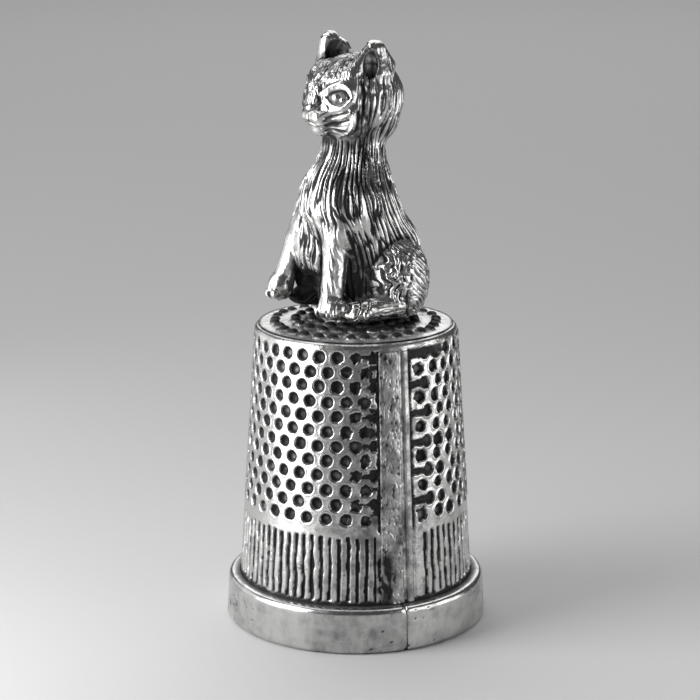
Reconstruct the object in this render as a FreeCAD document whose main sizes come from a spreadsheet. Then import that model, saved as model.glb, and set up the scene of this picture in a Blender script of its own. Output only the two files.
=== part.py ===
"""Thimble with a seated cat on its crown, millimetres.

Frame: +Z up along the thimble's axis, origin on the axis in the plane of the mouth that the thimble
stands on. The cat looks along -Y, so its left side is +X. Angles round the axis are measured from
+X towards +Y.

The thimble is put together from these pieces:
  thimble_wall    tapered sleeve with twelve rows of dimples above a reeded skirt
  mouth_band      strip bent into a ring round the foot of the sleeve, its ends meeting at a joint
  seam_strap      flat strip soldered over the sleeve's seam
  seam_bead       thin ridge beside the strap, along the other lip of the seam
  crown_disc      domed disc let into the top of the sleeve
  cat_figure      solid cast cat, wider at the foot than the solder that it stands on
  figure_solder   pad of solder between the crown and the cat
  figure_peg      pin through the crown into the cat
"""
import FreeCAD, Part
import math
import os
import Sketcher

Vector = FreeCAD.Vector
Z_AXIS = Vector(0, 0, 1)

# Driving dimensions -------------------------------------------------------------------------
SIZES = {
    # mouth band
    "rim_radius": 10.0,
    "rim_shoulder_radius": 9.86,
    "rim_height": 3.4,
    "rim_top_round": 0.35,
    "rim_foot_round": 0.25,
    "band_sweep": 359.4,
    "band_start": -7.0,
    # sleeve
    "wall_foot_radius": 8.93,
    "wall_taper": 0.0661,
    "bore_radius": 7.85,
    "bore_height": 4.0,
    "bore_top_radius": 6.5,
    "mouth_bevel": 0.3,
    "crown_height": 22.85,
    "crown_edge_round": 0.33,
    # crown disc
    "disc_radius": 7.25,
    "disc_thickness": 0.9,
    "disc_rise": 0.5,
    # dimples, on the sleeve and on the crown
    "dimple_radius": 0.465,
    "dimple_tool_radius": 0.55,
    "dimple_rows": 12,
    "dimples_round": 36,
    "top_row_height": 21.85,
    "row_spacing": 1.088,
    "outer_ring_radius": 6.1,
    "outer_ring_count": 32,
    "inner_ring_radius": 4.5,
    "inner_ring_count": 23,
    # reeding
    "reeds_round": 80,
    "reed_tool_radius": 0.19,
    "reed_depth": 0.15,
    "reed_bottom": 3.8,
    "reed_top": 8.45,
    # seam
    "strap_start": -17.5,
    "strap_sweep": 11.2,
    "strap_thickness": 0.14,
    "strap_top": 22.2,
    "bead_start": -4.5,
    "bead_sweep": 3.7,
    "bead_thickness": 0.12,
    # cat and what holds it
    "figure_base": 23.8,
    "figure_height": 20.9,
    "solder_radius": 3.4,
    "peg_radius": 1.1,
    "peg_length": 4.4,
}


def wall_radius(height):
    """Outside radius of the sleeve at a height above the mouth."""
    return SIZES["wall_foot_radius"] - SIZES["wall_taper"] * (height - SIZES["rim_height"])


def dome_height(radius):
    """Height of the crown's upper face at a distance from the axis."""
    return SIZES["crown_height"] + SIZES["disc_rise"] * (1 - (radius / SIZES["disc_radius"]) ** 2)


def arc_radius(chord, rise):
    """Radius of the arc that rises by rise in the middle of a half chord."""
    return (chord ** 2 + rise ** 2) / (2 * rise)


SIZES["seat_height"] = SIZES["crown_height"] - SIZES["disc_thickness"]
SIZES["crown_shoulder_radius"] = wall_radius(SIZES["crown_height"])
SIZES["bore_bevel_radius"] = SIZES["bore_radius"] + SIZES["mouth_bevel"]
SIZES["dome_crest"] = SIZES["crown_height"] + SIZES["disc_rise"]
SIZES["dome_arc"] = arc_radius(SIZES["disc_radius"], SIZES["disc_rise"])
SIZES["disc_under_crest"] = SIZES["seat_height"] + SIZES["disc_rise"]
SIZES["disc_under_arc"] = arc_radius(SIZES["bore_top_radius"], SIZES["disc_rise"])
SIZES["strap_bottom_radius"] = SIZES["wall_foot_radius"] + SIZES["strap_thickness"]
SIZES["strap_under_radius"] = wall_radius(SIZES["strap_top"])
SIZES["strap_top_radius"] = wall_radius(SIZES["strap_top"]) + SIZES["strap_thickness"]
SIZES["bead_bottom_radius"] = SIZES["wall_foot_radius"] + SIZES["bead_thickness"]
SIZES["bead_top_radius"] = wall_radius(SIZES["strap_top"]) + SIZES["bead_thickness"]

# The cat's masses below are drawn for a cat this tall
CAT_DRAWN_HEIGHT = 20.9
SIZES["figure_scale"] = SIZES["figure_height"] / CAT_DRAWN_HEIGHT

# Angles of the stretches over the seam that have no dimples and no reeds
SEAM_CLEAR_START = -20.0
SEAM_CLEAR_END = 2.5
REED_CLEAR_START = -19.5
REED_CLEAR_END = 4.5
SHAPE_TOLERANCE = 1e-4

document = FreeCAD.newDocument("thimble")
sheet = document.addObject("Spreadsheet::Sheet", "Sizes")
for row, (alias, value) in enumerate(SIZES.items(), start=1):
    sheet.set(f"A{row}", alias)
    sheet.set(f"B{row}", repr(value))
    sheet.setAlias(f"B{row}", alias)
document.recompute()


# Drawing helpers ----------------------------------------------------------------------------
def origin_feature(body, role):
    """One of a body's own planes or axes."""
    return next(item for item in body.Origin.OriginFeatures if item.Role == role)


def pin_point(sketch, geometry, end, radius, height):
    """Hold one end of an edge at a radius and a height named in the sheet, or at zero."""
    for kind, alias in (("DistanceX", radius), ("DistanceY", height)):
        size = SIZES[alias] if alias else 0.0
        index = sketch.addConstraint(Sketcher.Constraint(kind, -1, 1, geometry, end, size))
        if alias:
            sketch.setExpression(f"Constraints[{index}]", f"Sizes.{alias}")


def turned_body(label, corners, arcs=None, sweep=None, start=None):
    """A body turned about the axis from an outline.

    corners is a ring of (radius, height) cell names, None for zero. arcs maps a corner's place in
    the ring to the cell with the radius of the curved edge that starts there. sweep and start name
    the cells with the angles of a piece that goes only part of the way round.
    """
    body = document.addObject("PartDesign::Body", label)
    sketch = body.newObject("Sketcher::SketchObject", f"{label}_outline")
    sketch.AttachmentSupport = [(origin_feature(body, "XZ_Plane"), "")]
    sketch.MapMode = "FlatFace"
    points = [Vector(SIZES[radius] if radius else 0.0, SIZES[height] if height else 0.0, 0)
              for radius, height in corners]
    arcs = arcs or {}
    for index, point in enumerate(points):
        following = points[(index + 1) % len(points)]
        if index in arcs:
            curve, head, tail = crowned_edge(point, following, arcs[index])
        else:
            curve, head, tail = Part.LineSegment(point, following), 1, 2
        edge = sketch.addGeometry(curve)
        pin_point(sketch, edge, head, *corners[index])
        pin_point(sketch, edge, tail, *corners[(index + 1) % len(points)])
        if index in arcs:
            bend = sketch.addConstraint(Sketcher.Constraint("Radius", edge, SIZES[arcs[index]]))
            sketch.setExpression(f"Constraints[{bend}]", f"Sizes.{arcs[index]}")
    turning = body.newObject("PartDesign::Revolution", f"{label}_turning")
    turning.Profile = (sketch, [""])
    turning.ReferenceAxis = (origin_feature(body, "Z_Axis"), [""])
    turning.Angle = SIZES[sweep] if sweep else 360.0
    if sweep:
        turning.setExpression("Angle", f"Sizes.{sweep}")
    if start:
        body.Placement = FreeCAD.Placement(Vector(), FreeCAD.Rotation(Z_AXIS, SIZES[start]))
    document.recompute()
    return body


def crowned_edge(point, following, radius_cell):
    """An arc that bulges upwards between two points, and the numbers of its two ends."""
    radius = SIZES[radius_cell]
    left, right = sorted((point, following), key=lambda corner: corner.x)
    across = right - left
    middle = (left + right) * 0.5
    upwards = Vector(-across.y, across.x, 0).normalize()
    centre = middle - upwards * math.sqrt(radius ** 2 - (across.Length / 2) ** 2)
    arc = Part.Arc(right, centre + upwards * radius, left)
    return (arc, 2, 1) if point is left else (arc, 1, 2)


def round_edges(body, name, radius_cell, chosen):
    """Fillet the edges of a body's tip for which chosen(edge) holds."""
    base = body.Tip
    names = [f"Edge{number}" for number, edge in enumerate(base.Shape.Edges, start=1)
             if chosen(edge)]
    fillet = body.newObject("PartDesign::Fillet", name)
    fillet.Base = (base, names)
    fillet.setExpression("Radius", f"Sizes.{radius_cell}")
    body.Tip = fillet
    document.recompute()


def hoop_at(radius, height):
    """A test for an edge that goes round the axis at a radius and a height."""
    def fits(edge):
        box = edge.BoundBox
        flat = box.ZLength < SHAPE_TOLERANCE and abs(box.ZMin - height) < SHAPE_TOLERANCE
        point = edge.Vertexes[0].Point
        return flat and edge.Length > radius and abs(math.hypot(point.x, point.y) - radius) < 0.01
    return fits


def on_circle(radius, degrees, height):
    """A point at an angle round the axis."""
    angle = math.radians(degrees)
    return Vector(radius * math.cos(angle), radius * math.sin(angle), height)


def in_gap(degrees, start, end):
    """Whether an angle lies in the stretch from start to end."""
    turned = (degrees + 180.0) % 360.0 - 180.0
    return start < turned < end


def tool_offset():
    """Distance from a surface to the centre of the ball that presses a dimple into it."""
    return math.sqrt(sheet.dimple_tool_radius ** 2 - sheet.dimple_radius ** 2)


def dimple_ball(surface_point, outwards):
    """The ball that leaves one dimple, with its pole on the line into the surface."""
    ball = Part.makeSphere(sheet.dimple_tool_radius)
    centre = surface_point + outwards * tool_offset()
    ball.Placement = FreeCAD.Placement(centre, FreeCAD.Rotation(Z_AXIS, outwards))
    return ball


def compound_feature(name, shapes):
    """A document object that holds a group of cutting shapes."""
    feature = document.addObject("Part::Feature", name)
    feature.Shape = Part.makeCompound(shapes)
    return feature


def cut_feature(label, base, tool):
    """The base with the tool's shapes taken away."""
    cut = document.addObject("Part::Cut", label)
    cut.Base = base
    cut.Tool = tool
    document.recompute()
    return cut


def is_dimple(face):
    """Whether a face is the inside of a dimple."""
    surface = face.Surface
    if surface.TypeId != "Part::GeomSphere":
        return False
    return abs(surface.Radius - sheet.dimple_tool_radius) < SHAPE_TOLERANCE


def check_dimples(piece, wanted):
    """Stop if a piece has lost dimples: each one is a single face."""
    found = sum(is_dimple(face) for face in piece.Shape.Faces)
    if found != wanted:
        raise RuntimeError(f"{piece.Label}: {found} dimples, not {wanted}")


# Sleeve -------------------------------------------------------------------------------------
def wall_dimples():
    """Balls for the rows of dimples, each row half a step round from the next."""
    balls = []
    slope = math.atan(sheet.wall_taper)
    step = 360.0 / sheet.dimples_round
    for row in range(int(sheet.dimple_rows)):
        height = sheet.top_row_height - row * sheet.row_spacing
        for place in range(int(sheet.dimples_round)):
            angle = (place + 0.5 * (row % 2)) * step
            if in_gap(angle, SEAM_CLEAR_START, SEAM_CLEAR_END):
                continue
            outwards = on_circle(math.cos(slope), angle, math.sin(slope))
            balls.append(dimple_ball(on_circle(wall_radius(height), angle, height), outwards))
    return balls


def wall_reeds():
    """Rods for the reeding, laid along the sleeve's taper."""
    rods = []
    standoff = sheet.reed_tool_radius - sheet.reed_depth
    step = 360.0 / sheet.reeds_round
    for place in range(int(sheet.reeds_round)):
        angle = (place + 0.5) * step
        if in_gap(angle, REED_CLEAR_START, REED_CLEAR_END):
            continue
        foot = on_circle(wall_radius(sheet.reed_bottom) + standoff, angle, sheet.reed_bottom)
        head = on_circle(wall_radius(sheet.reed_top) + standoff, angle, sheet.reed_top)
        rods.append(Part.makeCylinder(sheet.reed_tool_radius, (head - foot).Length, foot, head - foot))
    return rods


def make_wall():
    """Sleeve: straight bore at the mouth, conical above, with a rebate for the crown disc."""
    blank = turned_body("wall_blank", [
        ("bore_bevel_radius", None),
        ("wall_foot_radius", None),
        ("wall_foot_radius", "rim_height"),
        ("crown_shoulder_radius", "crown_height"),
        ("disc_radius", "crown_height"),
        ("disc_radius", "seat_height"),
        ("bore_top_radius", "seat_height"),
        ("bore_radius", "bore_height"),
        ("bore_radius", "mouth_bevel"),
    ])
    shoulder = hoop_at(sheet.crown_shoulder_radius, sheet.crown_height)
    round_edges(blank, "crown_edge", "crown_edge_round", shoulder)
    dimples = wall_dimples()
    wall = cut_feature("thimble_wall", blank, compound_feature("wall_tools", dimples + wall_reeds()))
    check_dimples(wall, len(dimples))
    return wall


def make_band():
    """Applied ring round the foot, open by a hair at its joint."""
    band = turned_body("mouth_band", [
        ("wall_foot_radius", None),
        ("rim_radius", None),
        ("rim_shoulder_radius", "rim_height"),
        ("wall_foot_radius", "rim_height"),
    ], sweep="band_sweep", start="band_start")
    round_edges(band, "band_shoulder", "rim_top_round",
                hoop_at(sheet.rim_shoulder_radius, sheet.rim_height))
    round_edges(band, "band_foot", "rim_foot_round", hoop_at(sheet.rim_radius, 0.0))
    return band


def make_seam_strap():
    """Flat strip over the seam, from the band's ledge to the crown's edge."""
    return turned_body("seam_strap", [
        ("wall_foot_radius", "rim_height"),
        ("strap_bottom_radius", "rim_height"),
        ("strap_top_radius", "strap_top"),
        ("strap_under_radius", "strap_top"),
    ], sweep="strap_sweep", start="strap_start")


def make_seam_bead():
    """Thin ridge beside the strap."""
    return turned_body("seam_bead", [
        ("wall_foot_radius", "rim_height"),
        ("bead_bottom_radius", "rim_height"),
        ("bead_top_radius", "strap_top"),
        ("strap_under_radius", "strap_top"),
    ], sweep="bead_sweep", start="bead_start")


# Crown and fixing ---------------------------------------------------------------------------
def make_crown():
    """Domed disc with two rings of dimples and a hole for the peg."""
    blank = turned_body("crown_blank", [
        (None, "dome_crest"),
        (None, "disc_under_crest"),
        ("bore_top_radius", "seat_height"),
        ("disc_radius", "seat_height"),
        ("disc_radius", "crown_height"),
    ], arcs={1: "disc_under_arc", 4: "dome_arc"})
    dimples = []
    rings = ((sheet.outer_ring_radius, int(sheet.outer_ring_count)),
             (sheet.inner_ring_radius, int(sheet.inner_ring_count)))
    for radius, count in rings:
        for place in range(count):
            top = on_circle(radius, place * 360.0 / count, dome_height(radius))
            dimples.append(dimple_ball(top, Z_AXIS))
    hole_foot = Vector(0, 0, sheet.seat_height - 1)
    hole = Part.makeCylinder(sheet.peg_radius, sheet.figure_base, hole_foot)
    crown = cut_feature("crown_disc", blank, compound_feature("crown_tools", dimples + [hole]))
    check_dimples(crown, len(dimples))
    return crown


def make_peg():
    """Pin from the crown's underside up into the cat."""
    peg = document.addObject("Part::Cylinder", "figure_peg")
    peg.setExpression("Radius", "Sizes.peg_radius")
    peg.setExpression("Height", "Sizes.peg_length")
    peg.setExpression(".Placement.Base.z", "Sizes.disc_under_crest")
    return peg


def make_solder():
    """Pad of solder, hollowed underneath to the dome of the crown."""
    pad = document.addObject("Part::Cylinder", "solder_blank")
    pad.setExpression("Radius", "Sizes.solder_radius")
    pad.setExpression("Height", "Sizes.figure_base - Sizes.crown_height")
    pad.setExpression(".Placement.Base.z", "Sizes.crown_height")
    dome = document.addObject("Part::Sphere", "solder_dome")
    dome.setExpression("Radius", "Sizes.dome_arc")
    dome.setExpression(".Placement.Base.z", "Sizes.dome_crest - Sizes.dome_arc")
    hole = document.addObject("Part::Cylinder", "solder_hole")
    hole.setExpression("Radius", "Sizes.peg_radius")
    hole.setExpression("Height", "Sizes.figure_base")
    tools = document.addObject("Part::MultiFuse", "solder_tools")
    tools.Shapes = [dome, hole]
    return cut_feature("figure_solder", pad, tools)


# Cat ----------------------------------------------------------------------------------------
# Rounded masses: name, place (left, forward, up from the underside), half sizes in the same
# order, and the turn about the vertical in degrees. All are millimetres at the drawn height.
MASSES = [
    ("head", (0.0, 0.2, 16.0), (3.7, 3.6, 2.95), 0),
    ("muzzle", (0.0, 3.1, 14.4), (1.5, 1.3, 1.15), 0),
    ("chin", (0.0, 2.8, 13.6), (0.9, 0.9, 0.8), 0),
    ("chest", (0.0, 1.7, 8.6), (2.6, 2.5, 3.9), 0),
    ("left_haunch", (2.9, -1.2, 2.8), (2.15, 3.1, 3.1), 0),
    ("right_haunch", (-2.9, -1.2, 2.8), (2.15, 3.1, 3.1), 0),
    ("left_hind_foot", (3.8, 0.5, 0.7), (1.15, 2.4, 0.85), 0),
    ("right_hind_foot", (-3.8, 0.5, 0.7), (1.15, 2.4, 0.85), 0),
    ("left_forepaw", (2.3, 3.0, 0.7), (1.15, 1.35, 0.85), 0),
    ("right_forepaw", (-3.1, 4.2, 1.4), (1.25, 1.35, 1.15), 0),
    ("tail_root", (-1.6, -4.6, 0.8), (1.9, 0.95, 1.05), 25),
    ("tail_bend", (-3.6, -3.1, 0.75), (1.9, 0.85, 0.95), 55),
    ("tail_tip", (-4.4, -0.9, 0.7), (1.9, 0.75, 0.85), 82),
]

# Sections of the trunk from the underside up: height, middle (forward), half width, half depth.
TRUNK = [
    (0.0, -0.9, 4.4, 4.7),
    (3.7, -0.7, 4.4, 4.7),
    (7.2, -0.1, 3.8, 4.1),
    (10.2, 0.4, 3.05, 3.25),
    (12.8, 0.2, 2.4, 2.4),
    (14.7, 0.2, 2.4, 2.4),
]

# Tapered limbs and ears: name, (left, forward, up) of the thick and the thin end, their radii.
TAPERS = [
    ("left_foreleg", (2.3, 1.4, 8.6), (2.3, 3.0, 0.9), 1.45, 1.0),
    ("right_foreleg", (-2.6, 1.6, 8.6), (-3.1, 4.0, 1.5), 1.45, 1.0),
    ("left_ear", (2.0, 0.3, 17.2), (2.7, 0.1, 20.1), 1.5, 0.15),
    ("right_ear", (-2.0, 0.6, 17.4), (-2.7, 0.9, 20.9), 1.5, 0.15),
]


def figure_point(left, forward, up):
    """A point given in the cat's own terms, in the part's frame."""
    scale = sheet.figure_scale
    return Vector(left * scale, -forward * scale, sheet.figure_base + up * scale)


def make_mass(name, place, half_sizes, turn):
    """An ellipsoid of the cat."""
    mass = document.addObject("Part::Ellipsoid", name)
    left, forward, up = half_sizes
    mass.setExpression("Radius1", f"{up} * Sizes.figure_scale")
    mass.setExpression("Radius2", f"{left} * Sizes.figure_scale")
    mass.setExpression("Radius3", f"{forward} * Sizes.figure_scale")
    mass.Placement = FreeCAD.Placement(figure_point(*place), FreeCAD.Rotation(Z_AXIS, turn))
    return mass


def make_taper(name, thick_end, thin_end, thick_radius, thin_radius):
    """A cone of the cat, from its thick end to its thin end."""
    foot = figure_point(*thick_end)
    reach = figure_point(*thin_end) - foot
    cone = document.addObject("Part::Cone", name)
    cone.setExpression("Radius1", f"{thick_radius} * Sizes.figure_scale")
    cone.setExpression("Radius2", f"{thin_radius} * Sizes.figure_scale")
    cone.Height = reach.Length
    cone.Placement = FreeCAD.Placement(foot, FreeCAD.Rotation(Z_AXIS, reach))
    return cone


def make_trunk():
    """Smooth loft through the trunk's sections."""
    wires = []
    for up, forward, half_width, half_depth in TRUNK:
        centre = figure_point(0, forward, up)
        wide, deep = half_width * sheet.figure_scale, half_depth * sheet.figure_scale
        if deep > wide:
            ellipse = Part.Ellipse(centre + Vector(0, deep, 0), centre + Vector(wide, 0, 0), centre)
        else:
            ellipse = Part.Circle(centre, Z_AXIS, wide)
        wires.append(Part.Wire(ellipse.toShape()))
    trunk = document.addObject("Part::Feature", "trunk")
    trunk.Shape = Part.makeLoft(wires, True)
    return trunk


def make_cat():
    """The fused cat, cut flat underneath, with a blind hole for the peg."""
    pieces = [make_trunk()]
    pieces += [make_mass(*mass) for mass in MASSES]
    pieces += [make_taper(*taper) for taper in TAPERS]
    blank = document.addObject("Part::MultiFuse", "cat_blank")
    blank.Shapes = pieces
    below = document.addObject("Part::Box", "below_cat")
    below.setExpression("Length", "4 * Sizes.rim_radius")
    below.setExpression("Width", "4 * Sizes.rim_radius")
    below.setExpression("Height", "Sizes.figure_base")
    below.setExpression(".Placement.Base.x", "-2 * Sizes.rim_radius")
    below.setExpression(".Placement.Base.y", "-2 * Sizes.rim_radius")
    hole = document.addObject("Part::Cylinder", "peg_hole")
    hole.setExpression("Radius", "Sizes.peg_radius")
    hole.setExpression("Height", "Sizes.disc_under_crest + Sizes.peg_length")
    tools = document.addObject("Part::MultiFuse", "cat_tools")
    tools.Shapes = [below, hole]
    return cut_feature("cat_figure", blank, tools)


# Build, check and write ---------------------------------------------------------------------
def check_document():
    """Stop if any object of the document failed to compute."""
    for item in document.Objects:
        for flag in ("Invalid", "Error"):
            if flag in item.State:
                raise RuntimeError(f"{item.Label}: {flag}")


def write_pieces(pieces):
    """Check each sub-part's shape and write it under its own label."""
    os.makedirs("parts", exist_ok=True)
    for piece in pieces:
        shape = piece.Shape
        if shape.isNull() or not shape.isValid() or len(shape.Solids) != 1:
            raise RuntimeError(f"{piece.Label}: {shape.ShapeType}, {len(shape.Solids)} solids")
        shape.exportStep(os.path.join("parts", f"{piece.Label}.step"))
        box = shape.BoundBox
        print(f"{piece.Label}: {len(shape.Faces)} faces, {shape.Volume:.2f} mm3, "
              f"z {box.ZMin:.2f} to {box.ZMax:.2f}")


SUB_PARTS = [
    make_wall(),
    make_band(),
    make_seam_strap(),
    make_seam_bead(),
    make_crown(),
    make_peg(),
    make_solder(),
    make_cat(),
]
document.recompute()
check_document()
write_pieces(SUB_PARTS)
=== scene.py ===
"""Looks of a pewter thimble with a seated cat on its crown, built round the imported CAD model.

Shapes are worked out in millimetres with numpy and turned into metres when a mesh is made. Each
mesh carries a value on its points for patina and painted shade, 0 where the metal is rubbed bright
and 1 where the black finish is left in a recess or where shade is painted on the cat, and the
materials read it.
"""
import math
import types
from functools import partial

import bpy
import mathutils
import numpy as np
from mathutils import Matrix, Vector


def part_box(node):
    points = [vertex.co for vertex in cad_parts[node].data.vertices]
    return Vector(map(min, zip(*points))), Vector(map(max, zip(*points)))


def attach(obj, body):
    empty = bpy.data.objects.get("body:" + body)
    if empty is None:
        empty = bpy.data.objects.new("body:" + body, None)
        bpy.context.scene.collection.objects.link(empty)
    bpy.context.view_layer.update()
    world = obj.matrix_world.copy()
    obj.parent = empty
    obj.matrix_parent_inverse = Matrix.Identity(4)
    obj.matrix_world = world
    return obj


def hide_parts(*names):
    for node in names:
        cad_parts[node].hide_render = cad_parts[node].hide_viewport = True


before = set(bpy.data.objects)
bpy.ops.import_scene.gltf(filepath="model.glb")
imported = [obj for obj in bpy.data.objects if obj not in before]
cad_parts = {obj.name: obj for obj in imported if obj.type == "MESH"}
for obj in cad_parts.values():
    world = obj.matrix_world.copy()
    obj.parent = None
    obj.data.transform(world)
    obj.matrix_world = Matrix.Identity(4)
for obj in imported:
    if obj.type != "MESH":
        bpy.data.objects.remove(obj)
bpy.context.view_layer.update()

MM = 0.001
TURN = 2 * math.pi


# Sizes from the frame, in millimetres
def box_mm(node):
    """Lowest and highest corner of a CAD node in millimetres."""
    low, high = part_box(node)
    return np.array(low) / MM, np.array(high) / MM


def widest(node):
    """Largest distance of a CAD node's points from the axis."""
    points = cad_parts[node].data.vertices
    return max(math.hypot(point.co.x, point.co.y) for point in points) / MM


RIM_RADIUS = widest("mouth_band")
RIM_HEIGHT = box_mm("mouth_band")[1][2]
CROWN_HEIGHT = box_mm("thimble_wall")[1][2]
SLEEVE_FOOT_RADIUS = widest("thimble_wall")
DISC_RADIUS = widest("crown_disc")
DISC_SEAT = box_mm("crown_disc")[0][2]
DOME_CREST = box_mm("crown_disc")[1][2]
PEG_RADIUS = widest("figure_peg")
SOLDER_RADIUS = widest("figure_solder")
STRAP_TOP = box_mm("seam_strap")[1][2]
FIGURE_BASE = box_mm("figure_solder")[1][2]

# Taper, dimples and reeds
WALL_TAPER = 0.0661
BORE_RADIUS = 7.85
BORE_HEIGHT = 4.0
BORE_TOP_RADIUS = 6.5
MOUTH_BEVEL = 0.3
TOP_ROW = 21.85
ROW_SPACING = 1.088
ROWS = 12
DIMPLES_ROUND = 36
DIMPLE_RADIUS = 0.465
REED_BOTTOM = 3.75
REED_TOP = 8.5
REEDS_ROUND = 80
STRAP = (-17.5, -6.3)
BEAD = (-4.5, -0.8)
JOINT = -7.3
RING_RADII = (6.1, 4.5, 3.3)  # the innermost ring shows only between the cat's feet
RING_COUNTS = (32, 23, 17)


def wall_radius(height):
    """Outside radius of the sleeve at a height."""
    return SLEEVE_FOOT_RADIUS - WALL_TAPER * (height - RIM_HEIGHT)


def dome_height(radius):
    """Height of the crown at a distance from the axis."""
    return CROWN_HEIGHT + (DOME_CREST - CROWN_HEIGHT) * (1 - (radius / DISC_RADIUS) ** 2)


# Noise and small curves
LATTICE = 32


def value_noise(points, cell, seed):
    """Smooth random values from 0 to 1 at points, varying over about one cell."""
    lattice = np.random.RandomState(seed).rand(LATTICE, LATTICE, LATTICE).astype(np.float32)
    scaled = np.asarray(points, np.float64) / np.asarray(cell, np.float64)
    whole = np.floor(scaled).astype(np.int64)
    part = scaled - whole
    part = part * part * (3 - 2 * part)
    total = np.zeros(len(scaled))
    for corner in range(8):
        offset = np.array([corner & 1, corner >> 1 & 1, corner >> 2 & 1])
        place = (whole + offset) % LATTICE
        weight = np.where(offset, part, 1 - part).prod(axis=1)
        total += weight * lattice[place[:, 0], place[:, 1], place[:, 2]]
    return total


def layered_noise(points, cell, seed, layers=3):
    """Noise of several scales, about 0 to 1."""
    total, weight, size = 0.0, 1.0, np.asarray(cell, float)
    for layer in range(layers):
        total = total + weight * value_noise(points, size, seed + layer)
        weight *= 0.5
        size = size * 0.5
    return total / (2 - 2 * weight)


def ease(low, high, value):
    """Smooth ramp from 0 at low to 1 at high."""
    part = np.clip((value - low) / (high - low), 0, 1)
    return part * part * (3 - 2 * part)


def window(value, rise_start, rise_end, fall_start, fall_end):
    """Smooth hump: 0, up to 1 between the first two limits, and down again between the others."""
    return ease(rise_start, rise_end, value) * ease(fall_end, fall_start, value)


def plan(angles, radii):
    """Places across the axis, from angles in degrees and distances from it."""
    turned = np.radians(angles)
    return radii * np.cos(turned), radii * np.sin(turned)


def plane_points(across, along):
    """Points for the noise on a surface that is unrolled."""
    return np.stack([across, along, np.zeros_like(across)], axis=-1).reshape(-1, 3)


def surface_noise(across, along, cell, seed, layers=3):
    """Layered noise on an unrolled surface, in the shape of the grid."""
    return layered_noise(plane_points(across, along), (*cell, 1), seed, layers).reshape(across.shape)


def random_table(rows, columns, seed):
    """Random numbers from -1 to 1, one for each place."""
    return np.random.RandomState(seed).uniform(-1, 1, (rows, columns))


# Meshes
def make_piece(name, points, faces, patina_and_shade, node, material):
    """A mesh object from points in millimetres that stands for a CAD node."""
    mesh = bpy.data.meshes.new(name)
    mesh.from_pydata((np.asarray(points, float) * MM).tolist(), [], faces)
    mesh.attributes.new("patina_and_shade", "FLOAT", "POINT").data.foreach_set(
        "value", np.clip(patina_and_shade, 0, 1).astype(np.float32).ravel())
    mesh.shade_smooth()
    mesh.materials.append(material)
    piece = bpy.data.objects.new(name, mesh)
    bpy.context.scene.collection.objects.link(piece)
    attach(piece, "root")
    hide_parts(node)
    return piece


def grid_faces(rows, columns, closed_rows, closed_columns):
    """Quads of a grid of points, numbered row by row."""
    down = np.arange(rows if closed_rows else rows - 1)
    along = np.arange(columns if closed_columns else columns - 1)
    down, along = np.meshgrid(down, along, indexing="ij")
    next_down, next_along = (down + 1) % rows, (along + 1) % columns
    quads = np.stack([down * columns + along, down * columns + next_along,
                      next_down * columns + next_along, next_down * columns + along], axis=-1)
    return quads.reshape(-1, 4).tolist()


def spread(points, step):
    """Points along a polyline, no further apart than step."""
    out = [points[0]]
    for start, end in zip(points, points[1:]):
        pieces = max(1, int(math.ceil(math.dist(start, end) / step)))
        for piece in range(1, pieces + 1):
            part = piece / pieces
            out.append(tuple(a + (b - a) * part for a, b in zip(start, end)))
    return out


def turned_mesh(profile, angles, relief):
    """Points and patina of a profile of (radius, height) turned through angles in degrees.

    relief(angles, heights, radii) gives how far each point is pushed out from the profile, and its
    patina. The push is along the profile's own normal.
    """
    profile = np.array(profile)
    radii, heights = profile[:, :1], profile[:, 1:]
    along = np.roll(profile, -1, axis=0) - np.roll(profile, 1, axis=0)
    along /= np.maximum(np.linalg.norm(along, axis=1, keepdims=True), 1e-9)
    out_r, out_z = along[:, 1:], -along[:, :1]
    angle_grid = np.broadcast_to(angles[None, :], (len(profile), len(angles)))
    push, patina_and_shade = relief(angle_grid, np.broadcast_to(heights, angle_grid.shape),
                          np.broadcast_to(radii, angle_grid.shape))
    points = np.stack([*plan(angle_grid, radii + push * out_r), heights + push * out_z], -1)
    return points.reshape(-1, 3), patina_and_shade.ravel()


def turned_piece(name, node, profile, columns, relief, material, start=0.0):
    """A piece from a closed profile that is turned all the way round, from an angle in degrees."""
    angles = np.arange(columns) * 360.0 / columns + start
    points, patina_and_shade = turned_mesh(profile, angles, relief)
    faces = grid_faces(len(profile), columns, True, True)
    return make_piece(name, points, faces, patina_and_shade, node, material)


# Sleeve
GRAIN = 0.083  # spacing of the points on the detailed surfaces
SEAM_GROOVE = (-19.0, STRAP[0])  # black gap along the strap's far side
BEAD_GROOVE = (BEAD[1], 0.3)  # and along the near side of the bead
DULL_FROM = -48.0  # the metal is a little darker from here to the seam
SLOT_END = 12.5  # where the slots right of the seam run into the dimples
SLOT_HALF_HEIGHT = 0.24
DIMPLE_DEPTH = 0.34
# Limits for window(): heights in millimetres, or angles in degrees
DIMPLE_FIELD = (9.0, 9.25, 22.4, 22.62)
BARE_STRIP = (8.4, 8.7, 9.3, 9.5)
SEAM_GAPS = (3.6, 3.8, 22.25, 22.35)
SEAM_SLOTS = (9.2, 9.7, 22.25, 22.35)
NEAR_SEAM = (-46, -23, 2, 14)
PRESSED_SIDE = (2, 8, 55, 80)  # right of the seam the dimples are pressed out of shape


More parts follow.
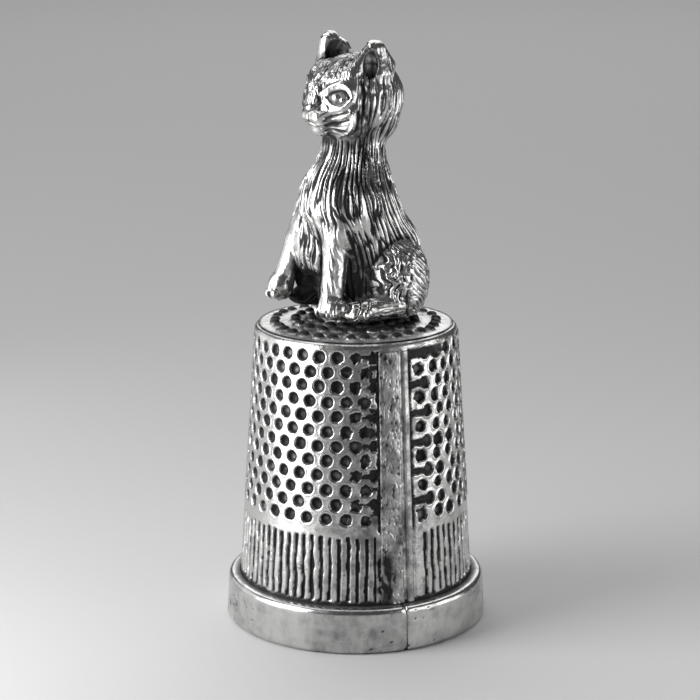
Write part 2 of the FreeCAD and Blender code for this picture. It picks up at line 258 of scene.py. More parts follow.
def nearest_dimple(angles, heights):
    """Distance to the nearest dimple in its own radii, and a random number for it."""
    best = np.full(angles.shape, 9.0)
    chance = np.zeros(angles.shape)
    jitter = random_table(ROWS, DIMPLES_ROUND, 3)
    sizes = random_table(ROWS, DIMPLES_ROUND, 4)
    step = 360.0 / DIMPLES_ROUND
    row_near = np.round((TOP_ROW - heights) / ROW_SPACING).astype(int)
    for shift in (-1, 0, 1):
        row = np.clip(row_near + shift, 0, ROWS - 1)
        start = 0.5 * step * (row % 2)
        column = np.round((angles - start) / step).astype(int)
        index = column % DIMPLES_ROUND
        place = start + column * step
        pressed = window(place, 2, 8, 50, 66)
        centre = place + pressed * (1.5 * jitter[row, index] + 1.5 * (row % 2))
        centre_height = TOP_ROW - row * ROW_SPACING + (0.03 + 0.06 * pressed) * jitter[row, index]
        size = 1 + (0.05 + 0.1 * pressed) * sizes[row, index]
        over_seam = (place > SEAM_GROOVE[0] + 1.0) & (place < BEAD_GROOVE[1] + 2.5)
        size = np.where(over_seam, 0.01, size)
        across = np.radians(angles - centre) * wall_radius(heights)
        distance = np.hypot(across, heights - centre_height) / (DIMPLE_RADIUS * size)
        nearer = distance < best
        best = np.where(nearer, distance, best)
        chance = np.where(nearer, sizes[row, index], chance)
    return best, chance


def reed_grooves(angles, heights):
    """How deep each point lies in the reeding, 0 to 1."""
    arc = np.radians(angles) * SLEEVE_FOOT_RADIUS
    wobble = surface_noise(arc, heights, (0.7, 1.3), 11) - 0.5
    width = surface_noise(arc, heights, (0.5, 0.9), 12) - 0.5
    phase = (angles + 1.5 * wobble) / (360.0 / REEDS_ROUND)
    ridge = np.abs((phase % 1.0) - 0.5) * 2
    groove = ease(0.55 + 0.4 * width, 0.2 + 0.4 * width, ridge)
    column = np.floor(phase).astype(int) % REEDS_ROUND
    ends = random_table(2, REEDS_ROUND, 13)
    top = REED_TOP + 0.1 * ends[0, column]
    bottom = REED_BOTTOM + 0.1 * ends[1, column]
    reach = window(heights, bottom - 0.12, bottom + 0.1, top - 0.08, top + 0.08)
    clear = ease(-19.5, -20.5, angles) + ease(4.0, 5.0, angles)
    return groove * reach * np.clip(clear, 0, 1)


def seam_slots(angles, heights):
    """Black gaps beside the strap and the bead, and the slots that run out of them, 0 to 1."""
    arc = np.radians(angles) * wall_radius(heights)
    noise = partial(surface_noise, arc, heights)
    rough = noise((0.35, 0.35), 21) - 0.5
    blots = noise((0.6, 0.45), 22)
    in_reeds = ease(9.4, 8.6, heights)
    beside = ease(SEAM_GROOVE[0] - 0.6, SEAM_GROOVE[0] + 0.5, angles + 2.2 * rough)
    beside = beside * ease(SEAM_GROOVE[1] + 0.4, SEAM_GROOVE[1] - 0.1, angles)
    beside = beside * (1 - (0.25 + 0.55 * in_reeds) * ease(0.6, 0.45, blots))
    near = ease(BEAD_GROOVE[0] - 0.1, BEAD_GROOVE[0] + 0.4, angles)
    near = near * ease(BEAD_GROOVE[1] + 0.6, BEAD_GROOVE[1] - 0.3, angles + 1.6 * rough)
    near = near * (1 - 0.6 * in_reeds)
    line = window(angles, STRAP[1] - 0.2, STRAP[1] + 0.3, BEAD[0] - 0.3, BEAD[0] + 0.2)
    span = window(heights, *SEAM_GAPS)
    gaps = np.maximum(np.maximum(beside, near), 0.35 * line) * span
    row = (TOP_ROW - heights) / ROW_SPACING
    to_even = np.abs((row + 1) % 2 - 1) * ROW_SPACING
    slot = ease(SLOT_HALF_HEIGHT + 0.06, SLOT_HALF_HEIGHT - 0.08, to_even + 0.22 * rough)
    right = slot * ease(SLOT_END + 0.4, SLOT_END - 0.4, angles) * (angles > BEAD_GROOVE[0])
    reach = 0.09 + 0.2 * np.exp(-((angles + 21.6) / 1.3) ** 2)
    ragged_slot = ease(reach + 0.06, reach - 0.08, to_even + 0.5 * (blots - 0.5) + 0.25 * rough)
    left = ragged_slot * ease(-29, -27.0, angles) * (angles < SEAM_GROOVE[1])
    pocket = ease(0.6, 0.66, blots) * ease(-26, -21.0, angles) * (angles < SEAM_GROOVE[1])
    in_rows = window(heights, *SEAM_SLOTS)
    under_edge = ease(21.5, 21.65, heights + 0.4 * rough) * ease(22.32, 22.2, heights)
    under_edge = under_edge * (angles > BEAD_GROOVE[0]) * ease(34, 20, angles + 8 * rough)
    slots = np.maximum(np.maximum(right, left), 0.75 * pocket) * in_rows
    return np.maximum(np.maximum(gaps, slots), under_edge)


def sleeve_relief(angles, heights, radii):
    """Dimples, reeding and seam on the outside of the sleeve; a cast surface inside."""
    outside = (radii > wall_radius(heights) - 0.3) & (heights > RIM_HEIGHT - 0.1)
    arc = np.radians(angles) * SLEEVE_FOOT_RADIUS
    noise = partial(surface_noise, arc, heights)
    distance, chance = nearest_dimple(angles, heights)
    lumps = noise((1.7, 1.7), 31) - 0.5
    rough = noise((0.22, 0.22), 32) - 0.5
    near_seam = window(angles, *NEAR_SEAM)
    dull = ease(DULL_FROM - 3, DULL_FROM + 3, angles + 4 * lumps) * ease(2, -2, angles)
    pressed = window(angles, *PRESSED_SIDE)
    ragged = distance + (0.2 + 0.9 * near_seam) * (noise((0.3, 0.3), 33) - 0.5)
    bowl = np.clip(1 - ragged ** 2, 0, 1) ** 0.62
    lip = np.exp(-((distance - 1.12) / 0.13) ** 2) * (0.022 + 0.068 * pressed)
    slots = seam_slots(angles, heights)
    beside_slots = seam_slots(angles, heights + 0.22) + seam_slots(angles, heights - 0.22)
    slot_lip = np.clip(beside_slots, 0, 1) * (1 - slots) * (angles > BEAD_GROOVE[1]) * (heights < 21.4)
    in_rows = window(heights, *DIMPLE_FIELD)
    dimples = bowl * (1 - np.clip(slots, 0, 1)) * in_rows
    reeds = reed_grooves(angles, heights)
    push = 0.03 * lumps + 0.018 * rough - (DIMPLE_DEPTH + 0.03 * chance) * dimples
    push = push + (lip + 0.06 * slot_lip) * in_rows * (1 - slots) - 0.17 * slots * (0.8 + rough)
    push = push - (0.2 + 0.06 * lumps) * reeds
    grime = ease(0.6, 0.8, noise((0.5, 0.5), 34))
    freckles = ease(0.7, 0.8, noise((0.17, 0.17), 35))
    bare_strip = window(heights, *BARE_STRIP)
    nicks = ease(0.3, 0.05, np.abs(heights - 5.9 - 0.5 * lumps)) * ease(0.05, 0.2, rough)
    mottled = ease(0.45, 0.7, noise((1.1, 1.1), 36)) * near_seam
    in_bowl = ease(0.1, 0.35, dimples) * (1 - 0.25 * ease(0.75, 0.98, dimples))
    patina_and_shade = np.maximum.reduce([
        in_bowl, ease(0.25, 0.6, reeds), ease(0.25, 0.7, slots),
        0.5 * grime * (0.1 + near_seam), freckles * (0.25 * bare_strip + 0.5 * near_seam),
        0.5 * nicks, 0.14 * dull + 0.12 * near_seam + 0.22 * mottled])
    patina_and_shade = np.maximum(patina_and_shade, 0.95 * ease(3.85, 3.6, heights + 0.3 * rough))
    return np.where(outside, push, 0.02 * lumps), np.where(outside, patina_and_shade, 0.55 + 0.5 * lumps)


def border_profile(steps=7):
    """The rounded top edge of the sleeve, from the cone over to the gap round the disc."""
    top_round = 0.42
    centre_height = CROWN_HEIGHT - top_round
    centre_radius = wall_radius(centre_height) - top_round
    lean = math.atan(WALL_TAPER)
    out = []
    for step in range(1, steps + 1):
        angle = lean + (math.pi / 2 - lean) * step / steps
        out.append((centre_radius + top_round * math.cos(angle), centre_height + top_round * math.sin(angle)))
    return out


def make_sleeve(material):
    """Sleeve with its dimples, reeds and the ground round its seam."""
    edge = border_profile()
    top_of_cone = edge[0][1] - 0.03
    rows = int((top_of_cone - RIM_HEIGHT) / GRAIN)
    cone = [(wall_radius(z), z) for z in np.linspace(RIM_HEIGHT, top_of_cone, rows)]
    inside = spread([(DISC_RADIUS + 0.05, CROWN_HEIGHT - 0.02), (DISC_RADIUS + 0.05, DISC_SEAT),
                     (BORE_TOP_RADIUS, DISC_SEAT), (BORE_RADIUS, BORE_HEIGHT), (BORE_RADIUS, MOUTH_BEVEL),
                     (BORE_RADIUS + MOUTH_BEVEL, 0.0), (SLEEVE_FOOT_RADIUS, 0.0)], 1.0)
    profile = inside + cone + edge
    columns = int(TURN * SLEEVE_FOOT_RADIUS / GRAIN)
    return turned_piece("sleeve", "thimble_wall", profile, columns, sleeve_relief, material, -180.0)


# Crown
UNDER_CAT = (3.1, 2.7)  # radii between which the crown turns black towards the solder


def crown_relief(angles, heights, radii):
    """Three rings of dimples on the upper face."""
    on_top = heights > CROWN_HEIGHT - 0.2
    best = np.full(angles.shape, 9.0)
    jitter = random_table(6, 64, 41)
    for ring, (ring_radius, count) in enumerate(zip(RING_RADII, RING_COUNTS)):
        step = 360.0 / count
        column = np.round(angles / step).astype(int)
        centre = column * step + 1.2 * jitter[ring, column % count]
        out = ring_radius + 0.1 * jitter[ring + 3, column % count]
        across = np.radians(angles - centre) * ring_radius
        best = np.minimum(best, np.hypot(across / 0.44, (radii - out) / 0.4))
    place = plan(angles, radii)
    rough = surface_noise(*place, (0.25, 0.25), 42) - 0.5
    lumps = surface_noise(*place, (1.2, 1.2), 43) - 0.5
    bowl = np.clip(1 - (best + 0.3 * rough) ** 2, 0, 1) ** 0.6
    lip = 0.075 * np.exp(-((best - 1.12) / 0.16) ** 2)
    push = lip - 0.27 * bowl + 0.04 * rough + 0.03 * lumps
    rim = ease(DISC_RADIUS - 0.14, DISC_RADIUS, radii)
    push = push - 0.18 * rim
    under_cat = ease(*UNDER_CAT, radii)
    patina_and_shade = np.maximum.reduce([ease(0.05, 0.35, bowl), rim, 0.9 * under_cat, 0.25 * ease(0.15, 0.3, rough)])
    return np.where(on_top, push, 0.0), np.where(on_top, patina_and_shade, 0.5)


def make_crown(material):
    """Domed disc, open in the middle for the peg."""
    rings = int((DISC_RADIUS - PEG_RADIUS) / GRAIN)
    top = [(r, dome_height(r)) for r in np.linspace(DISC_RADIUS - 0.03, PEG_RADIUS, rings)]
    rise = DOME_CREST - CROWN_HEIGHT
    under = [(r, DISC_SEAT + rise * (1 - (r / BORE_TOP_RADIUS) ** 2))
             for r in np.linspace(PEG_RADIUS, BORE_TOP_RADIUS, 8)]
    edge = spread([(DISC_RADIUS - 0.03, DISC_SEAT), (DISC_RADIUS - 0.03, CROWN_HEIGHT - 0.1)], 0.3)
    profile = (top + under + edge)[::-1]
    columns = int(TURN * DISC_RADIUS / GRAIN)
    return turned_piece("crown", "crown_disc", profile, columns, crown_relief, material)


# Mouth band
BAND_GRAIN = 0.11
JOINT_GAP = 0.16  # degrees


def band_relief(angles, heights, radii):
    """Slight dents and scratches, a few pits, and corners rounded at the joint."""
    outside = radii > SLEEVE_FOOT_RADIUS + 0.1
    arc = np.radians(angles) * RIM_RADIUS
    noise = partial(surface_noise, arc, heights)
    lumps = noise((2.2, 1.4), 51) - 0.5
    fine = noise((0.35, 0.25), 52) - 0.5
    worn = ease(0.55, 0.75, noise((3.0, 1.5), 56, 1))
    pits = ease(0.8, 0.86, noise((0.3, 0.22), 53, 2)) * worn
    scored = ease(0.8, 0.86, noise((0.9, 0.13), 54, 2)) * worn
    rubbed = noise((0.16, 0.9), 57, 2)
    from_joint = np.minimum((angles - JOINT) % 360.0, (JOINT - angles) % 360.0)
    corner = ease(2.2, 0.0, from_joint) * (((JOINT - angles) % 360.0) < 180.0)
    edges = ease(RIM_HEIGHT - 0.8, RIM_HEIGHT, heights) + ease(0.8, 0.0, heights)
    push = 0.05 * lumps + 0.015 * fine - 0.05 * pits - 0.02 * scored
    push = push - corner * (0.03 + 0.1 * edges)
    ledge = (heights > RIM_HEIGHT - 0.05) * ease(RIM_RADIUS - 0.35, SLEEVE_FOOT_RADIUS + 0.1, radii)
    joint = ease(0.35, 0.05, from_joint)
    clouds = ease(0.45, 0.85, noise((1.1, 0.8), 55))
    turned = (angles + 180.0) % 360.0 - 180.0
    dull = window(turned, DULL_FROM - 1.5, DULL_FROM + 1.5, JOINT - 0.3, JOINT + 0.3)
    patina_and_shade = np.maximum.reduce([0.9 * pits, 0.45 * scored, 0.2 * joint, 0.7 * ledge,
                                0.14 * clouds + 0.1 * rubbed + 0.1 * dull])
    return np.where(outside, push, 0.0), np.where(outside, patina_and_shade, 0.7)


def rounded_corner(centre, radius, start, end, steps=6):
    """Points of a quarter round."""
    angles = np.radians(np.linspace(start, end, steps))
    return [(centre[0] + radius * math.cos(a), centre[1] + radius * math.sin(a)) for a in angles]


def make_band(material):
    """Ring round the mouth, parted at its joint."""
    top_radius = RIM_RADIUS - 0.14
    foot = rounded_corner((RIM_RADIUS - 0.32, 0.32), 0.32, -90, 0)
    shoulder = rounded_corner((top_radius - 0.45, RIM_HEIGHT - 0.45), 0.45, 0, 90)
    inner = SLEEVE_FOOT_RADIUS + 0.02
    outline = spread([(inner, 0.0)] + foot + shoulder + [(inner, RIM_HEIGHT)], BAND_GRAIN)
    outline += spread([(inner, RIM_HEIGHT), (inner, 0.0)], 1.2)[1:-1]
    columns = int(TURN * RIM_RADIUS / BAND_GRAIN)
    angles = JOINT + JOINT_GAP / 2 + np.linspace(0, 1, columns) * (360.0 - JOINT_GAP)
    points, patina_and_shade = turned_mesh(outline, angles, band_relief)
    faces = grid_faces(len(outline), columns, True, False)
    ring = np.arange(len(outline)) * columns
    faces.append(ring.tolist())
    faces.append((ring + columns - 1)[::-1].tolist())
    return make_piece("band", points, faces, patina_and_shade, "mouth_band", material)


# Seam
def make_strip(name, node, span, thickness, pitting, seed, material):
    """A strip up the sleeve between two angles, with a crowned, pitted face."""
    start, end = span
    heights = np.arange(RIM_HEIGHT + 0.02, STRAP_TOP + 0.12, 0.07)
    width = math.radians(end - start) * SLEEVE_FOOT_RADIUS
    across = np.linspace(0, 1, int(width / 0.06) + 3)
    part, lift = np.meshgrid(np.concatenate([[0.0], across, [1.0]]), heights)
    face = np.ones(part.shape, bool)
    face[:, [0, -1]] = False
    arc = part * width
    noise = partial(surface_noise, arc, lift)
    rough = noise((0.16, 0.16), seed) - 0.5
    waves = noise((0.8, 2.5), seed + 3) - 0.5
    pits = ease(0.6, 0.7, noise((0.11, 0.2), seed + 5, 2)) * pitting
    blotch = ease(0.5, 0.75, noise((0.5, 0.9), seed + 7)) * pitting
    edge = np.minimum(part, 1 - part) * width
    height = thickness * (0.35 + 0.65 * ease(0.0, 0.16, edge))
    height = height + 0.03 * waves + 0.02 * rough - 0.05 * pits
    reach = wall_radius(lift) + np.where(face, height, -0.05)
    wander = 0.35 * (value_noise(plane_points(lift * 0, lift), 1.4, seed + 9).reshape(lift.shape) - 0.5)
    points = np.stack([*plan(start + (end - start) * part + wander, reach), lift], -1).reshape(-1, 3)
    low_left = ease(9.0, 6.0, lift) * ease(0.75, 0.3, part)
    stain = ease(0.42, 0.62, noise((0.6, 1.2), seed + 11)) * low_left
    patina_and_shade = np.maximum.reduce([0.85 * pits * (0.4 + blotch), 0.9 * stain * pitting, 0.26 + 0.28 * blotch,
                                0.5 * ease(0.05, 0.0, edge)])
    count = len(across) + 2
    faces = grid_faces(len(heights), count, False, True)
    faces.append(np.arange(count)[::-1].tolist())
    faces.append((np.arange(count) + (len(heights) - 1) * count).tolist())
    return make_piece(name, points, faces, patina_and_shade.ravel(), node, material)


# Solder under the cat
def solder_relief(angles, heights, radii):
    """Lumps round the outside of the pad."""
    noise = surface_noise(*plan(angles, radii), (0.35, 0.35), 61) - 0.5
    return np.where(radii > SOLDER_RADIUS - 0.75, 0.16 * noise, 0.0), 0.3 + 0.7 * noise


def make_solder(material):
    """Lumpy pad between the crown and the cat."""
    foot = (SOLDER_RADIUS - 0.35, dome_height(SOLDER_RADIUS) + 0.02)
    waist = [foot, (SOLDER_RADIUS - 0.65, FIGURE_BASE - 0.35), (SOLDER_RADIUS - 0.5, FIGURE_BASE - 0.02)]
    inner = [(PEG_RADIUS + 0.02, FIGURE_BASE - 0.02), (PEG_RADIUS + 0.02, dome_height(PEG_RADIUS) + 0.02)]
    under = [(r, dome_height(r) + 0.02) for r in np.linspace(PEG_RADIUS + 0.3, SOLDER_RADIUS - 0.6, 5)]
    profile = spread(waist, 0.1) + inner + under
    return turned_piece("solder_pad", "figure_solder", profile, 240, solder_relief, material)


# Cat: shape
# Places are (left, forward, up) in the cat's own terms, up from its underside.
# Sections of the trunk: up, half width, half depth, middle (forward).
TRUNK = [
    (0.0, 3.3, 3.6, -1.1),
    (0.9, 3.5, 4.0, -1.1),
    (2.1, 3.45, 4.1, -1.2),
    (3.7, 3.4, 4.05, -1.0),
    (5.5, 3.55, 3.95, -0.5),
    (6.7, 3.75, 3.9, -0.1),
    (7.9, 3.7, 3.95, 0.4),
    (9.1, 3.4, 3.6, 0.55),
    (10.3, 3.0, 3.2, 0.55),
    (11.5, 2.5, 2.65, 0.35),
    (12.7, 2.3, 2.4, 0.2),
    (14.5, 2.3, 2.3, 0.1),
    (17.0, 2.0, 2.0, 0.1),
]

# Rounded masses of the body: place, half sizes, and how softly each one joins.
BODY_MASSES = [
    ((0.2, 2.1, 8.4), (2.2, 1.9, 3.2), 0.8),  # chest
    ((2.2, 1.2, 8.2), (1.45, 1.8, 2.3), 0.7),  # left shoulder
    ((-2.1, 1.2, 8.2), (1.4, 1.8, 2.3), 0.7),  # right shoulder
    ((1.7, -2.4, 4.7), (1.95, 1.95, 2.4), 0.8),  # left hip
    ((-3.0, -1.6, 3.1), (2.0, 2.8, 2.8), 0.5),  # right haunch
    ((-3.7, 1.3, 0.75), (1.0, 2.5, 0.9), 0.3),  # right hind foot
    ((-3.2, 1.4, 2.2), (1.1, 2.0, 1.7), 0.4),  # right knee
    ((-1.3, 3.0, 5.1), (2.2, 1.15, 2.6), 0.5),  # web between the forelegs
    ((0.0, -3.8, 1.4), (2.4, 1.3, 1.7), 0.5),  # rump
    ((-1.6, -4.6, 0.85), (1.9, 0.8, 0.85), 0.25),  # tail, from its root round the right side
    ((-3.5, -3.5, 0.8), (1.3, 1.2, 0.8), 0.25),
    ((-4.5, -1.6, 0.75), (0.75, 1.9, 0.75), 0.2),
    ((-4.4, 0.6, 0.7), (0.7, 1.4, 0.7), 0.2),
]

# Left haunch, which stands proud of the flank: place, half sizes, softness.
HAUNCH = ((2.95, -2.05, 2.6), (1.95, 2.4, 3.2), 0.3)

# Forepaws: place, half sizes, softness.
FOREPAWS = [
    ((2.0, 3.0, 0.85), (1.28, 1.22, 0.98), 0.3),
    ((-3.4, 4.6, 1.7), (0.95, 1.0, 1.15), 0.35),  # raised
]

# Limbs: thick end, thin end, their radii, and how softly each one joins.
LIMBS = [
    ((2.3, 2.2, 9.0), (1.9, 2.85, 5.2), 1.35, 0.88, 0.6),
    ((1.9, 2.85, 5.2), (1.85, 3.1, 1.3), 0.88, 0.86, 0.2),
    ((-2.3, 2.0, 9.2), (-2.8, 3.4, 5.2), 1.2, 0.95, 0.6),
    ((-2.8, 3.4, 5.2), (-3.3, 4.3, 2.4), 0.95, 0.8, 0.2),
]
HIND_FOOT = ((3.35, 1.85, 0.65), (3.55, -1.0, 0.9), 0.88, 1.05, 0.5)

# Toes of the forepaws and the left hind foot: place and radius.
TOES = [
    ((1.2, 3.75, 0.55), 0.42), ((1.75, 4.0, 0.55), 0.44), ((2.35, 3.9, 0.55), 0.43), ((2.8, 3.4, 0.6), 0.4),
    ((-3.95, 5.1, 1.25), 0.4), ((-3.45, 5.4, 1.2), 0.42), ((-2.95, 5.3, 1.25), 0.4),
    ((3.2, 2.35, 0.5), 0.42), ((3.75, 2.1, 0.52), 0.44), ((4.15, 1.6, 0.52), 0.4),
]

# Hollows: place, half sizes, softness.
HOLLOWS = [
    ((-0.9, 3.9, 1.4), (1.45, 1.9, 1.75), 0.3),  # arch between the forelegs
    ((3.5, 1.2, 3.6), (0.9, 1.0, 1.9), 0.5),  # flank between foreleg and haunch
]

# Head, in its own terms: turned to the left and tilted, places from its centre.
HEAD_CENTRE = (0.0, 0.1, 16.1)
HEAD_YAW = 8.0
HEAD_ROLL = 4.0
SKULL = (3.6, 3.7, 3.2)
HEAD_MASSES = [
    ((1.9, 1.4, -1.1), (1.5, 1.5, 1.4), 0.6),  # cheeks
    ((-1.9, 1.3, -1.1), (1.5, 1.5, 1.4), 0.6),
    ((1.35, 1.25, 1.35), (1.5, 1.5, 1.3), 0.6),  # brows
    ((-1.35, 1.25, 1.35), (1.5, 1.5, 1.3), 0.6),
    ((0.8, -1.1, -1.8), (1.9, 1.9, 1.6), 0.6),  # nape
    ((0.0, 3.15, -1.2), (1.35, 1.1, 0.95), 0.5),  # muzzle
    ((0.55, 3.7, -1.2), (0.62, 0.55, 0.52), 0.12),  # whisker pads
    ((-0.55, 3.65, -1.2), (0.62, 0.55, 0.52), 0.12),
    ((0.0, 4.05, -0.6), (0.38, 0.33, 0.27), 0.1),  # nose
    ((0.0, 3.05, -2.05), (0.85, 0.8, 0.68), 0.25),  # chin
]
BRIDGE = ((0.0, 3.25, 0.7), (0.0, 3.85, -0.4), 0.6, 0.4)

# Ears: rods along their rims and backs, and the hollows inside.
EARS = [
    ((2.05, -0.2, 2.2), (2.2, -0.1, 3.75), 1.3, 0.6),
    ((2.1, 0.25, 3.88), (1.95, 1.9, 1.9), 0.5, 0.6),
    ((2.2, -0.3, 3.7), (2.2, -1.2, 2.5), 0.52, 0.62),
    ((-2.1, 0.4, 2.0), (-2.35, 0.65, 3.95), 1.15, 0.5),
    ((-2.5, 0.95, 3.8), (-2.6, 1.15, 2.2), 0.44, 0.5),
    ((-2.3, 0.6, 4.0), (-1.6, 0.05, 3.45), 0.5, 0.45),
    ((-1.6, 0.05, 3.45), (-0.85, -0.15, 2.6), 0.45, 0.5),
]
EAR_HOLLOWS = [
    ((2.72, 0.78, 2.75), (0.45, 0.5, 1.05), 0.2),
    ((-1.3, 0.85, 3.05), (0.72, 0.85, 1.05), 0.2),
]


def ellipsoid(points, place, half_sizes):
    """Distance to an ellipsoid, near enough close to its surface."""
    scaled = (points - place) / half_sizes
    reach = np.linalg.norm(scaled, axis=1)
    slope = np.linalg.norm(scaled / half_sizes, axis=1)
    return reach * (reach - 1) / np.maximum(slope, 1e-6)


def tapered_rod(points, start, end, start_radius, end_radius):
    """Distance to a rod with round ends whose radius changes evenly."""
    start, end = np.array(start), np.array(end)
    reach = end - start
    part = np.clip((points - start) @ reach / (reach @ reach), 0, 1)
    radius = start_radius + (end_radius - start_radius) * part
    return np.linalg.norm(points - start - part[:, None] * reach, axis=1) - radius


def blended(first, second, softness):
    """Union of two distances with a soft joint."""
    gap = np.maximum(softness - np.abs(first - second), 0) / softness
    return np.minimum(first, second) - gap * gap * softness * 0.25


def hollowed(solid, tool, softness):
    """A distance with another shape taken out of it softly."""
    return -blended(-solid, tool, softness)


def with_masses(solid, points, masses, join=blended):
    """A distance with rounded masses joined to it, or taken out of it when join is hollowed."""
    for place, half_sizes, softness in masses:
        solid = join(solid, ellipsoid(points, place, half_sizes), softness)
    return solid


def nearest_rod(points, rods):
    """Distance to the nearest of several rods."""
    return np.minimum.reduce([tapered_rod(points, *rod[:4]) for rod in rods])


def trunk_distance(points):
    """Distance to the trunk, with its sections joined smoothly."""
    table = np.array(TRUNK)
    heights = np.arange(-1, 18, 0.1)
    smoothing = np.hanning(17)
    smoothing /= smoothing.sum()
    sizes = []
    for column in (1, 2, 3):
        values = np.interp(heights, table[:, 0], table[:, column])
        padded = np.pad(values, 8, mode="edge")
        sizes.append(np.interp(points[:, 2], heights, np.convolve(padded, smoothing, "valid")))
    half_width, half_depth, middle = sizes
    across, along = points[:, 0] / half_width, (points[:, 1] - middle) / half_depth
    reach = np.hypot(across, along)
    slope = np.hypot(across / half_width, along / half_depth)
    side = reach * (reach - 1) / np.maximum(slope, 1e-6)
    return np.maximum(side, points[:, 2] - 16.0)


def head_axes():
    """Rows: the head's own left, forward and up."""
    yaw, roll = math.radians(HEAD_YAW), math.radians(HEAD_ROLL)
    forward = np.array([math.sin(yaw), math.cos(yaw), 0.0])
    left = np.array([math.cos(yaw) * math.cos(roll), -math.sin(yaw) * math.cos(roll), -math.sin(roll)])
    return np.array([left, forward, np.cross(left, forward)])


def in_head(points):
    """Points in the head's own terms."""
    return (points - HEAD_CENTRE) @ head_axes().T


def head_distance(points):
    """Distance to the head, ears included, for points in the head's own terms."""
    head = with_masses(ellipsoid(points, (0, 0, 0), SKULL), points, HEAD_MASSES)
    head = blended(head, tapered_rod(points, *BRIDGE), 0.25)
    for ear in EARS:
        head = blended(head, tapered_rod(points, *ear), 0.35)
    return with_masses(head, points, EAR_HOLLOWS, hollowed)


def cat_distance(points):
    """Distance to the whole cat."""
    body = with_masses(trunk_distance(points), points, BODY_MASSES)
    body = with_masses(body, points, HOLLOWS, hollowed)
    body = with_masses(body, points, [HAUNCH])
    for *rod, softness in LIMBS + [HIND_FOOT]:
        body = blended(body, tapered_rod(points, *rod), softness)
    body = with_masses(body, points, FOREPAWS)
    for place, radius in TOES:
        body = blended(body, np.linalg.norm(points - place, axis=1) - radius, 0.1)
    whole = blended(body, head_distance(in_head(points)), 0.55)
    return np.maximum(whole, -points[:, 2])


# Cat: mesh
CAT_LOW = np.array([-6.0, -6.4, -0.4])
CAT_HIGH = np.array([5.8, 6.6, 21.6])
GRID = 0.12
COARSE = 3  # the rough pass looks at every third point of the grid


def cat_surface():
    """Points and quads of the cat's surface, looked for finely only near where it is."""
    axes = [np.arange(low, high, GRID) for low, high in zip(CAT_LOW, CAT_HIGH)]
    rough = np.stack(np.meshgrid(*[axis[::COARSE] for axis in axes], indexing="ij"), axis=-1)
    values = cat_distance(rough.reshape(-1, 3)).reshape(rough.shape[:3])
    for axis in range(3):
        values = np.repeat(values, COARSE, axis=axis)
    values = values[tuple(slice(len(axis)) for axis in axes)]
    near = np.argwhere(np.abs(values) < 1.9 * COARSE * GRID)
    values[tuple(near.T)] = cat_distance(CAT_LOW + near * GRID)
    return surface_net(values, CAT_LOW, GRID)


def surface_net(values, low, step):
    """Quads round the zero surface of a grid of distances, and their points."""
    inside = values < 0
    cells = np.array(values.shape) - 1
    corners = [(i, j, k) for i in (0, 1) for j in (0, 1) for k in (0, 1)]

    def shifted(grid, corner):
        return grid[tuple(slice(c, c + n) for c, n in zip(corner, cells))]

    count = sum(shifted(inside, corner).astype(np.int8) for corner in corners)
    mixed = (count > 0) & (count < 8)
    place = np.argwhere(mixed)
    number = np.full(mixed.shape, -1)
    number[mixed] = np.arange(len(place))
    total, crossings = np.zeros((len(place), 3)), np.zeros(len(place))
    for start in corners:
        for axis in range(3):
            if start[axis]:
                continue
            end = tuple(c + (axis == n) for n, c in enumerate(start))
            first = values[tuple((place + start).T)]
            second = values[tuple((place + end).T)]
            cross = (first < 0) != (second < 0)
            part = np.where(cross, first / np.where(cross, first - second, 1), 0)
            spot = np.array(start, float) + part[:, None] * np.eye(3)[axis]
            total += np.where(cross[:, None], spot, 0)
            crossings += cross
    points = low + (place + total / crossings[:, None]) * step
    quads = []
    for axis in range(3):
        ahead = np.roll(inside, -1, axis=axis)
        edge = np.argwhere(inside != ahead)
        others = [n for n in range(3) if n != axis]
        keep = (edge[:, axis] < cells[axis])
        for other in others:
            keep &= (edge[:, other] > 0) & (edge[:, other] < cells[other])
        edge = edge[keep]
        ring = []
        for shift in ((0, 0), (1, 0), (1, 1), (0, 1)):
            cell = edge.copy()
            cell[:, others[0]] -= shift[0]
            cell[:, others[1]] -= shift[1]
            ring.append(number[tuple(cell.T)])
        ring = np.stack(ring, axis=1)
        flip = inside[tuple(edge.T)] == (axis == 1)
        ring[flip] = ring[flip][:, ::-1]
        quads.append(ring)
    return points, np.concatenate(quads)


def slope_at(points, distance, reach=0.004):
    """How the distance grows along each axis."""
    steps = [cat_distance(points + reach * axis) - distance for axis in np.eye(3)]
    return np.stack(steps, axis=1) / reach


def settled(points):
    """Points moved onto the cat's surface."""
    distance = cat_distance(points)
    slope = slope_at(points, distance)
    steep = np.maximum((slope * slope).sum(axis=1), 0.2)
    return points - slope * (distance / steep)[:, None]


def divided(points, quads):
    """The mesh with each quad cut into four, rounded as Blender's subdivision does it."""
    mesh = bpy.data.meshes.new("coarse_cat")
    mesh.from_pydata(points.tolist(), [], quads.tolist())
    holder = bpy.data.objects.new("coarse_cat", mesh)
    bpy.context.scene.collection.objects.link(holder)
    finer = holder.modifiers.new("finer", "SUBSURF")
    finer.levels = 1
    made = holder.evaluated_get(bpy.context.evaluated_depsgraph_get()).to_mesh()
    out = np.empty(len(made.vertices) * 3)
    made.vertices.foreach_get("co", out)
    corners = np.empty(len(made.loops), dtype=np.int32)
    made.loops.foreach_get("vertex_index", corners)
    bpy.data.objects.remove(holder)
    bpy.data.meshes.remove(mesh)
    return out.reshape(-1, 3), corners.reshape(-1, 4)


# Cat: fur and face
def direction(longitude, latitude):
    """Unit vector in the head's terms; longitude from straight ahead towards its left."""
    turn, rise = np.radians(longitude), np.radians(latitude)
    return np.stack([np.sin(turn) * np.cos(rise), np.cos(turn) * np.cos(rise), np.sin(rise)], axis=-1)


